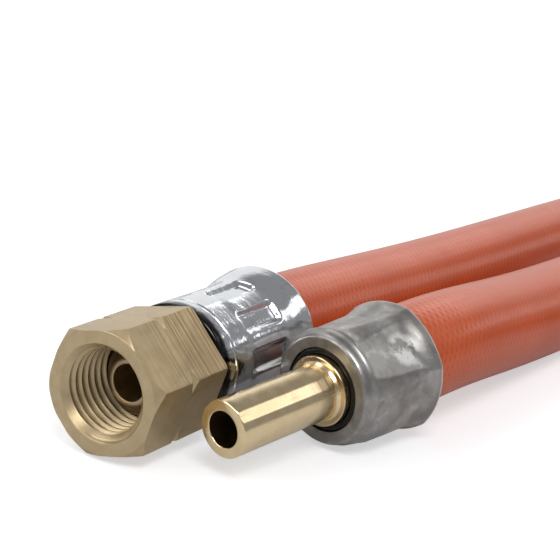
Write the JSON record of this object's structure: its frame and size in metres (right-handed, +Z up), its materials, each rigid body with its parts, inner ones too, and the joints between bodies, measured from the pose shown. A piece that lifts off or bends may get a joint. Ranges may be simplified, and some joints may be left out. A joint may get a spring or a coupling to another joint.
{
  "type": "gas hose assembly",
  "caption": "Orange rubber gas hose with a union nut on a cone nipple at one end and a plain tube stub at the other, both under crimped ferrules.",
  "frame": {"origin": "on the surface that the hose lies on, under the middle of the box round the fittings at its two ends", "axes": "+X from the fittings' mouths towards the hose's turn, +Y from the stub end towards the nut end, +Z up"},
  "size_m": [0.329, 0.1454, 0.02],
  "materials": {
    "nut_brass": "satin, machined",
    "stub_brass": "polished",
    "plated_steel": "bright plated",
    "bare_steel": "dull, crimped",
    "hose_rubber": "satin, finely ribbed",
    "liner_rubber": "matt",
    "braid_textile": "matt"
  },
  "bodies": {
    "hose_assembly": {"nut_end_nipple": "nut_brass", "nut_end_ferrule": "plated_steel", "nut_end_hose_liner": "liner_rubber", "nut_end_hose_braid": "braid_textile", "nut_end_hose_cover": "hose_rubber", "stub_end_nipple": "stub_brass", "stub_end_ferrule": "bare_steel", "stub_end_hose_liner": "liner_rubber", "stub_end_hose_braid": "braid_textile", "stub_end_hose_cover": "hose_rubber", "hose": "hose_rubber"},
    "union_nut": {"union_nut": "nut_brass"}
  },
  "joints": [
    {"name": "nut_swivel", "type": "hinge", "parent": "hose_assembly", "child": "union_nut", "pos_m": [-0.02105, 0.01039, 0.00942], "axis": [0.9999, 0, 0.0167], "continuous": true}
  ]
}
